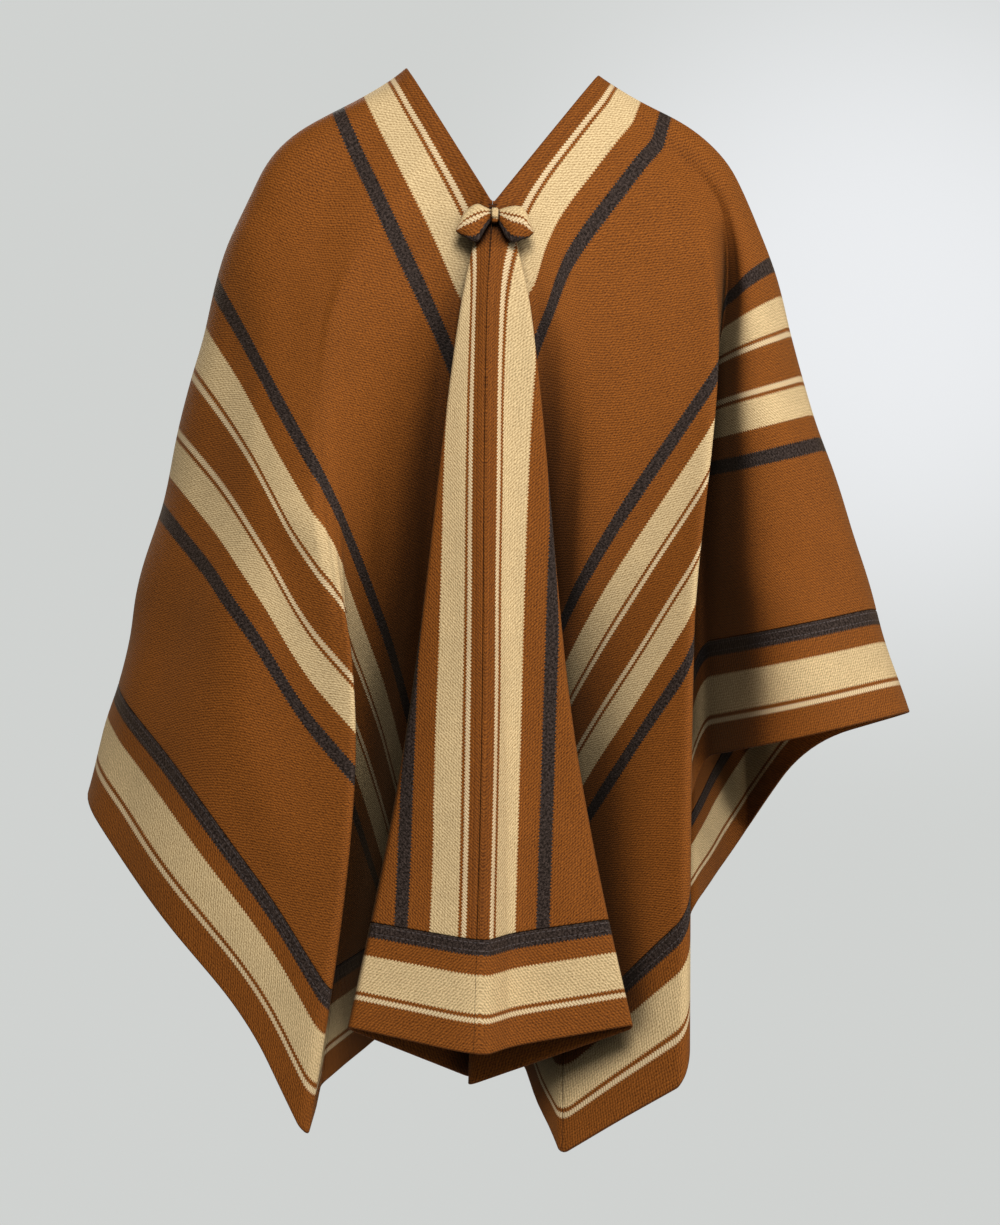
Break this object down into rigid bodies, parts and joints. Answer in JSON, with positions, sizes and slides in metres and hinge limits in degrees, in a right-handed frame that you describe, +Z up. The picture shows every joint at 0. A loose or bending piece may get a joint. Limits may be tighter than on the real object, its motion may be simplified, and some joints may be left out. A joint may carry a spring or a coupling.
{
  "type": "poncho",
  "caption": "Wool poncho hanging hollow as worn: centre seam, open V neck with a small bow, mitred border all round, front box pleat and a fluted back.",
  "frame": {"origin": "on top of the shoulders, midway between the two neck points, where the garment rests on its wearer", "axes": "+Z up; the front faces -Y; +X is to the right of a viewer facing the front"},
  "size_m": [0.7722, 0.5133, 0.9899],
  "materials": {
    "wool_brown": "matte napped wool, woven stripes along the length",
    "wool_border": "matte napped wool, woven stripes along the strip"
  },
  "bodies": {
    "root": {"body_panel_left": "wool_brown", "body_panel_right": "wool_brown", "border_front_left": "wool_border", "border_front_right": "wool_border", "border_side_left": "wool_border", "border_side_right": "wool_border", "border_back_left": "wool_border", "border_back_right": "wool_border", "bow_loop_left": "wool_border", "bow_loop_right": "wool_border", "bow_knot": "wool_brown"}
  },
  "joints": []
}
